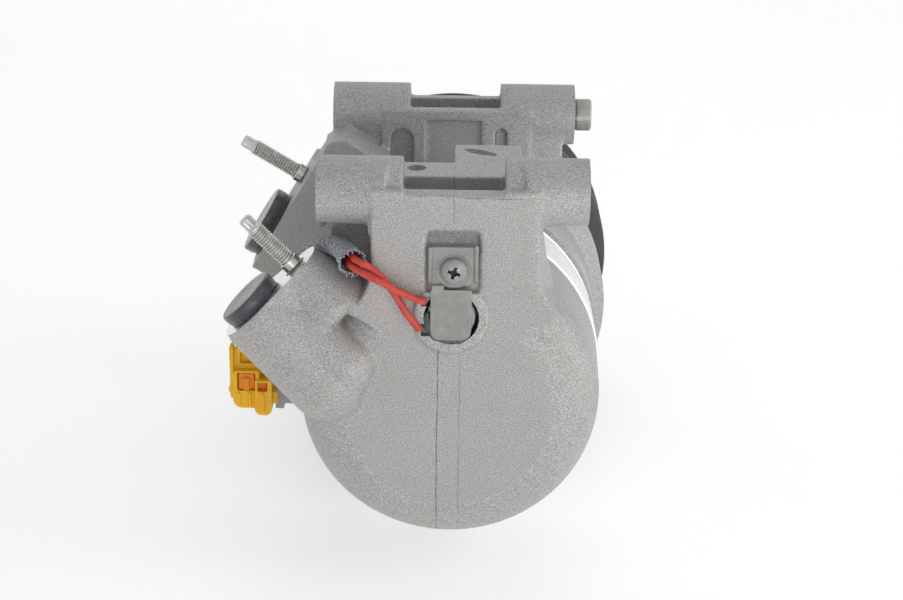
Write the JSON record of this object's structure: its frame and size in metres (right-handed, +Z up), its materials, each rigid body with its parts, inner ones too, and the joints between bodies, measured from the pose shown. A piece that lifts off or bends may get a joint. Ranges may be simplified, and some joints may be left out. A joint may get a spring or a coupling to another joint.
{
  "type": "automotive air conditioning compressor",
  "caption": "Belt-driven scroll compressor with cast housings, transverse mounting lugs, side ports with studs, clutch pulley and protector leads.",
  "frame": {"origin": "centre of the rear head's flat back face, on the shaft axis", "axes": "+Y along the shaft towards the pulley, +Z up through the mounting lugs, +X across the lugs"},
  "size_m": [0.144, 0.2023, 0.1496],
  "materials": {
    "cast_aluminium": "shot-blasted die casting, fine grain",
    "machined_aluminium": "turned and milled, bright",
    "bearing_steel": "ground",
    "zinc_steel": "zinc plated, slightly green",
    "black_paint": "satin black",
    "black_rubber": "moulded, satin",
    "red_insulation": "silicone wire insulation",
    "yellow_plastic": "translucent nylon",
    "orange_plastic": "nylon",
    "grey_plastic": "moulded",
    "grey_sealant": "cured silicone",
    "woven_sleeve": "coated glass braid",
    "coil_resin": "potting resin"
  },
  "bodies": {
    "casing": {"anti_rotation_pin_1": "bearing_steel", "anti_rotation_pin_2": "bearing_steel", "anti_rotation_pin_3": "bearing_steel", "anti_rotation_pin_4": "bearing_steel", "bearing_inner_race": "bearing_steel", "case_bolt_1": "zinc_steel", "case_bolt_2": "zinc_steel", "case_bolt_3": "zinc_steel", "case_bolt_4": "zinc_steel", "case_bolt_5": "zinc_steel", "clamp_plate": "zinc_steel", "clamp_screw": "zinc_steel", "coil_lead": "woven_sleeve", "coil_snap_ring": "bearing_steel", "connector_clip": "grey_plastic", "connector_housing": "yellow_plastic", "connector_lock": "orange_plastic", "discharge_port_cap": "black_rubber", "discharge_reed": "bearing_steel", "discharge_stud": "zinc_steel", "dowel_sleeve": "zinc_steel", "field_coil": "coil_resin", "fixed_scroll": "machined_aluminium", "front_bearing": "bearing_steel", "front_housing": "cast_aluminium", "front_o_ring": "black_rubber", "main_bearing": "bearing_steel", "protector_sealant": "grey_sealant", "protector_wire_a": "red_insulation", "protector_wire_b": "red_insulation", "rear_head": "cast_aluminium", "rear_o_ring": "black_rubber", "reed_screw": "zinc_steel", "reed_stop": "zinc_steel", "seal_ring": "zinc_steel", "shaft_seal": "black_rubber", "suction_port_cap": "black_rubber", "suction_stud": "zinc_steel", "thermal_protector": "grey_plastic", "thrust_plate": "bearing_steel", "wire_sleeve": "woven_sleeve"},
    "pulley_body": {"pulley": "black_paint", "bearing_outer_race": "bearing_steel"},
    "cage_body": {"bearing_cage": "bearing_steel"},
    "shaft_body": {"drive_shaft": "bearing_steel", "counterweight": "bearing_steel", "clutch_hub": "bearing_steel", "shaft_nut": "zinc_steel", "eccentric_bush": "bearing_steel", "leaf_spring_1": "bearing_steel", "leaf_spring_2": "bearing_steel", "leaf_spring_3": "bearing_steel"},
    "orbit_body": {"orbiting_scroll": "machined_aluminium", "orbit_bearing": "bearing_steel"},
    "armature_body": {"armature_plate": "black_paint"}
  },
  "joints": [
    {"name": "pulley_spin", "type": "hinge", "parent": "casing", "child": "pulley_body", "pos_m": [0, 0.17, 0], "axis": [0, 1, 0], "continuous": true},
    {"name": "cage_roll", "type": "hinge", "parent": "casing", "child": "cage_body", "pos_m": [0, 0.17, 0], "axis": [0, 1, 0], "continuous": true},
    {"name": "shaft_spin", "type": "hinge", "parent": "casing", "child": "shaft_body", "pos_m": [0, 0.116, 0], "axis": [0, 1, 0], "continuous": true},
    {"name": "orbit_hinge", "type": "hinge", "parent": "shaft_body", "child": "orbit_body", "pos_m": [0, 0.092, 0.0035], "axis": [0, 1, 0], "continuous": true},
    {"name": "armature_slide", "type": "slide", "parent": "shaft_body", "child": "armature_body", "axis": [0, -1, 0], "range_m": [0, 0.0005]}
  ],
  "couplings": [
    {"joint": "orbit_hinge", "follows": "shaft_spin", "ratio": -1},
    {"joint": "cage_roll", "follows": "pulley_spin", "ratio": 0.54}
  ]
}
